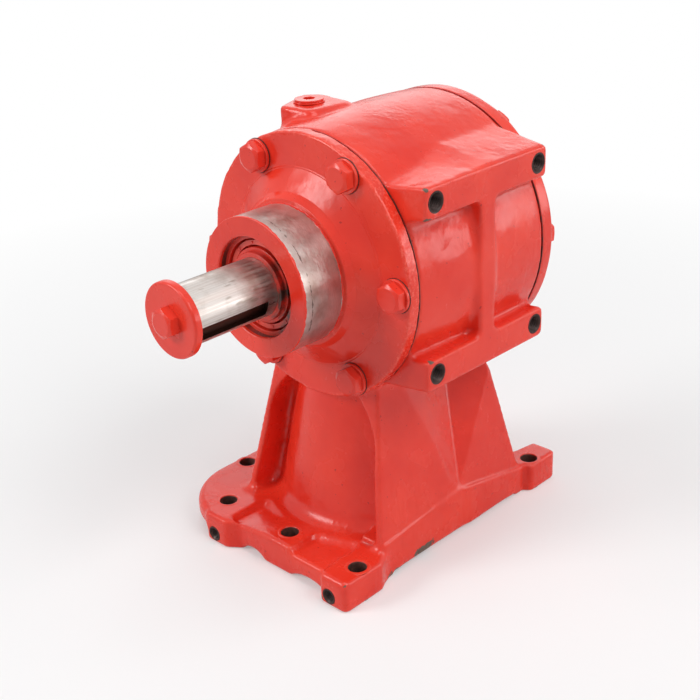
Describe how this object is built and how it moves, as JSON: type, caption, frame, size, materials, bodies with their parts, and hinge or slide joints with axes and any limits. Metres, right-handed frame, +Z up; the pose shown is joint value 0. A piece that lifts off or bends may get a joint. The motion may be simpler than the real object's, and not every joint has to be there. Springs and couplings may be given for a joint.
{
  "type": "right-angle bevel gearbox",
  "caption": "Cast right-angle bevel gearbox on a flared foot, with a keyed horizontal input shaft through a round nose and a keyed vertical output bore in the foot.",
  "frame": {"origin": "on the output shaft's axis in the plane of the foot's underside", "axes": "+Z up along the output shaft, -Y along the input shaft out of the nose, +X towards the tapped side face"},
  "size_m": [0.2195, 0.3262, 0.3326],
  "materials": {
    "red_paint": "gloss",
    "machined_steel": "satin",
    "bearing_steel": "polished",
    "black_steel": "satin",
    "cast_iron": "rough",
    "cage_brass": "satin",
    "seal_rubber": "matte",
    "gasket_paper": "matte"
  },
  "bodies": {
    "housing": {"housing": "red_paint", "front_cover": "red_paint", "rear_cover": "red_paint", "bottom_cover": "cast_iron", "front_gasket": "gasket_paper", "rear_gasket": "gasket_paper", "bottom_gasket": "gasket_paper", "front_cover_bolts": "red_paint", "front_cover_washers": "red_paint", "rear_cover_bolts": "red_paint", "rear_cover_washers": "red_paint", "bottom_cover_screws": "black_steel", "filler_plug": "red_paint", "filler_plug_washer": "red_paint", "level_plug": "red_paint", "level_plug_washer": "red_paint", "drain_plug": "red_paint", "drain_plug_washer": "red_paint", "input_seal": "seal_rubber", "output_seal": "seal_rubber", "nose_retaining_ring": "black_steel", "nose_bearing_outer_ring": "red_paint", "rear_bearing_outer_ring": "bearing_steel", "upper_bearing_outer_ring": "bearing_steel", "lower_bearing_outer_ring": "bearing_steel"},
    "input": {"input_shaft": "machined_steel", "crown_gear": "machined_steel", "crown_gear_key": "machined_steel", "rear_spacer": "machined_steel", "shaft_retaining_ring": "black_steel", "nose_collar": "red_paint", "end_disc": "red_paint", "end_bolt": "red_paint", "nose_bearing_inner_ring": "red_paint", "rear_bearing_inner_ring": "bearing_steel"},
    "output": {"output_shaft": "machined_steel", "bevel_pinion": "machined_steel", "pinion_key": "machined_steel", "lock_washer": "black_steel", "lock_nut": "black_steel", "upper_bearing_inner_ring": "bearing_steel", "lower_bearing_inner_ring": "bearing_steel"},
    "nose_cage": {"nose_bearing_cage": "red_paint", "nose_bearing_balls": "red_paint"},
    "rear_cage": {"rear_bearing_cage": "cage_brass", "rear_bearing_balls": "bearing_steel"},
    "upper_cage": {"upper_bearing_cage": "cage_brass", "upper_bearing_balls": "bearing_steel"},
    "lower_cage": {"lower_bearing_cage": "cage_brass", "lower_bearing_balls": "bearing_steel"}
  },
  "joints": [
    {"name": "input_spin", "type": "hinge", "parent": "housing", "child": "input", "pos_m": [0, 0, 0.228], "axis": [0, 1, 0], "continuous": true},
    {"name": "output_spin", "type": "hinge", "parent": "housing", "child": "output", "pos_m": [0, 0, 0.1], "axis": [0, 0, 1], "continuous": true},
    {"name": "nose_cage_spin", "type": "hinge", "parent": "housing", "child": "nose_cage", "pos_m": [0, -0.108, 0.228], "axis": [0, 1, 0], "continuous": true},
    {"name": "rear_cage_spin", "type": "hinge", "parent": "housing", "child": "rear_cage", "pos_m": [0, 0.066, 0.228], "axis": [0, 1, 0], "continuous": true},
    {"name": "upper_cage_spin", "type": "hinge", "parent": "housing", "child": "upper_cage", "pos_m": [0, 0, 0.132], "axis": [0, 0, 1], "continuous": true},
    {"name": "lower_cage_spin", "type": "hinge", "parent": "housing", "child": "lower_cage", "pos_m": [0, 0, 0.05], "axis": [0, 0, 1], "continuous": true}
  ],
  "couplings": [
    {"joint": "output_spin", "follows": "input_spin", "ratio": 2},
    {"joint": "nose_cage_spin", "follows": "input_spin", "ratio": 0.42667},
    {"joint": "rear_cage_spin", "follows": "input_spin", "ratio": 0.42667},
    {"joint": "upper_cage_spin", "follows": "input_spin", "ratio": 0.85333},
    {"joint": "lower_cage_spin", "follows": "input_spin", "ratio": 0.85333}
  ]
}
